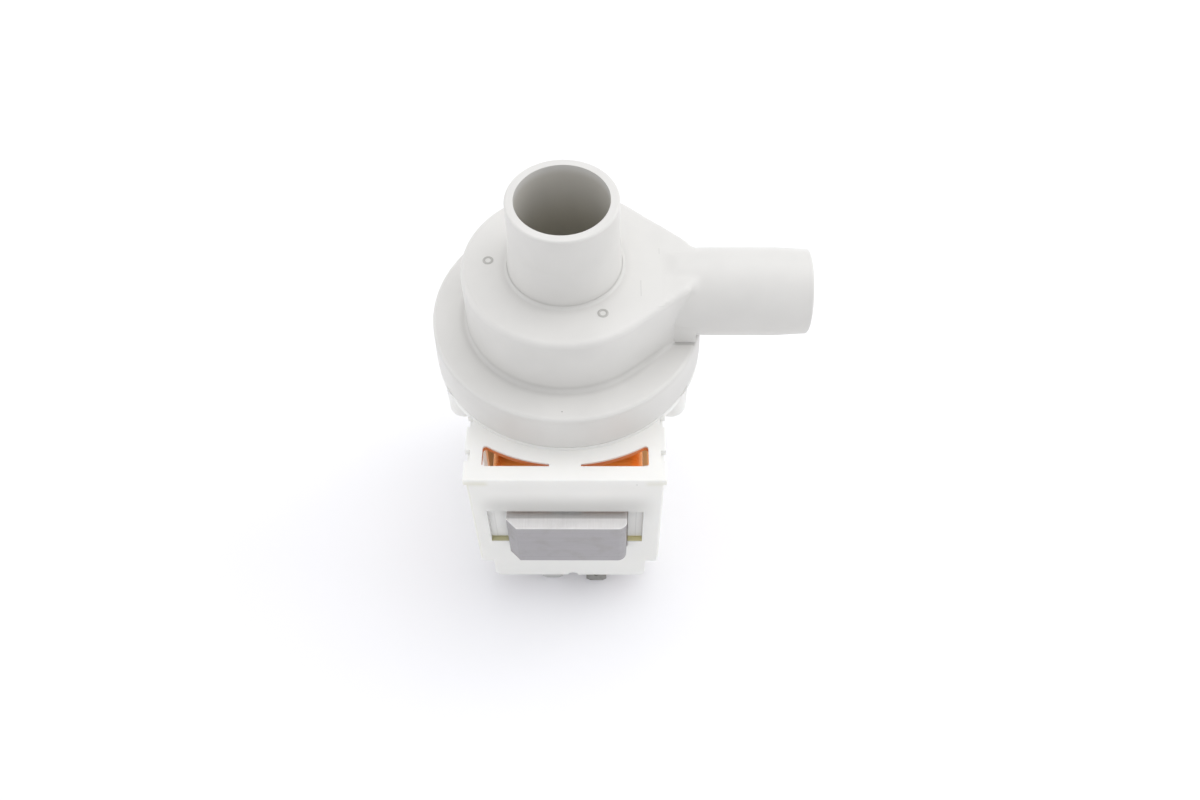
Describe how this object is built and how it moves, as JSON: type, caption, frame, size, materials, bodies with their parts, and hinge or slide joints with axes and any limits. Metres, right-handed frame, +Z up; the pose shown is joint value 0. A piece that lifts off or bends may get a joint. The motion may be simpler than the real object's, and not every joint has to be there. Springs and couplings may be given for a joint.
{
  "type": "drain pump",
  "caption": "Small appliance drain pump: round volute with upright inlet and radial outlet spigots over a laminated-core synchronous motor in a moulded cage.",
  "frame": {"origin": "on the pump axis, in the plane on which the end cover's skirt stands", "axes": "+Z up along the pump axis towards the inlet, +X along the outlet, +Y away from the steel yoke at the front"},
  "size_m": [0.1035, 0.09, 0.1233],
  "materials": {
    "volute_plastic": "satin mineral-filled polypropylene, light warm grey",
    "frame_plastic": "satin moulded polyester, ivory white",
    "cover_plastic": "satin moulded polyester, ivory white",
    "can_plastic": "satin grey moulding",
    "core_steel": "lacquered electrical steel laminations",
    "shaft_steel": "ground stainless steel",
    "screw_steel": "zinc-plated steel",
    "tab_metal": "tinned brass, dull grey",
    "winding_copper": "enamelled copper wire",
    "lead_insulation": "thin insulating sleeve",
    "bobbin_plastic": "natural glass-filled nylon",
    "bush_carbon": "sintered bush, dark",
    "seal_rubber": "black rubber",
    "ferrite": "sintered ferrite, dark grey",
    "impeller_plastic": "satin grey-white moulding",
    "rotor_plastic": "dark moulding round the magnet",
    "washer_plastic": "low-friction plastic",
    "cutout_case": "black moulded case"
  },
  "bodies": {
    "housing": {"volute_casing": "volute_plastic", "chamber_o_ring": "seal_rubber", "rotor_can": "can_plastic", "front_bearing_carrier": "can_plastic", "shaft_seal": "seal_rubber", "front_bearing": "bush_carbon", "front_bearing_boot": "seal_rubber", "rear_bearing": "bush_carbon", "rear_bearing_boot": "seal_rubber", "core_stack": "core_steel", "right_bobbin": "bobbin_plastic", "left_bobbin": "bobbin_plastic", "right_winding": "winding_copper", "left_winding": "winding_copper", "right_winding_layers": "winding_copper", "left_winding_layers": "winding_copper", "coil_link_wire": "lead_insulation", "left_lead_wire": "lead_insulation", "right_lead_wire": "lead_insulation", "thermal_cutout": "cutout_case", "motor_frame": "frame_plastic", "casing_screws": "screw_steel", "left_terminal": "tab_metal", "right_terminal": "tab_metal", "terminal_holder": "frame_plastic", "end_cover": "cover_plastic", "cover_screws": "screw_steel"},
    "rotor": {"rotor_shaft": "shaft_steel", "rotor_magnet": "ferrite", "rotor_carrier": "rotor_plastic", "front_thrust_washer": "washer_plastic", "rear_thrust_washer": "washer_plastic", "drive_dog": "rotor_plastic", "dog_damper": "seal_rubber"},
    "impeller": {"impeller": "impeller_plastic", "impeller_hub_cap": "impeller_plastic"}
  },
  "joints": [
    {"name": "rotor_spin", "type": "hinge", "parent": "housing", "child": "rotor", "pos_m": [0, 0, 0.038], "axis": [0, 0, 1], "continuous": true},
    {"name": "impeller_free_play", "type": "hinge", "parent": "rotor", "child": "impeller", "pos_m": [0, 0, 0.084], "axis": [0, 0, 1], "range_deg": [-125, 125]}
  ]
}
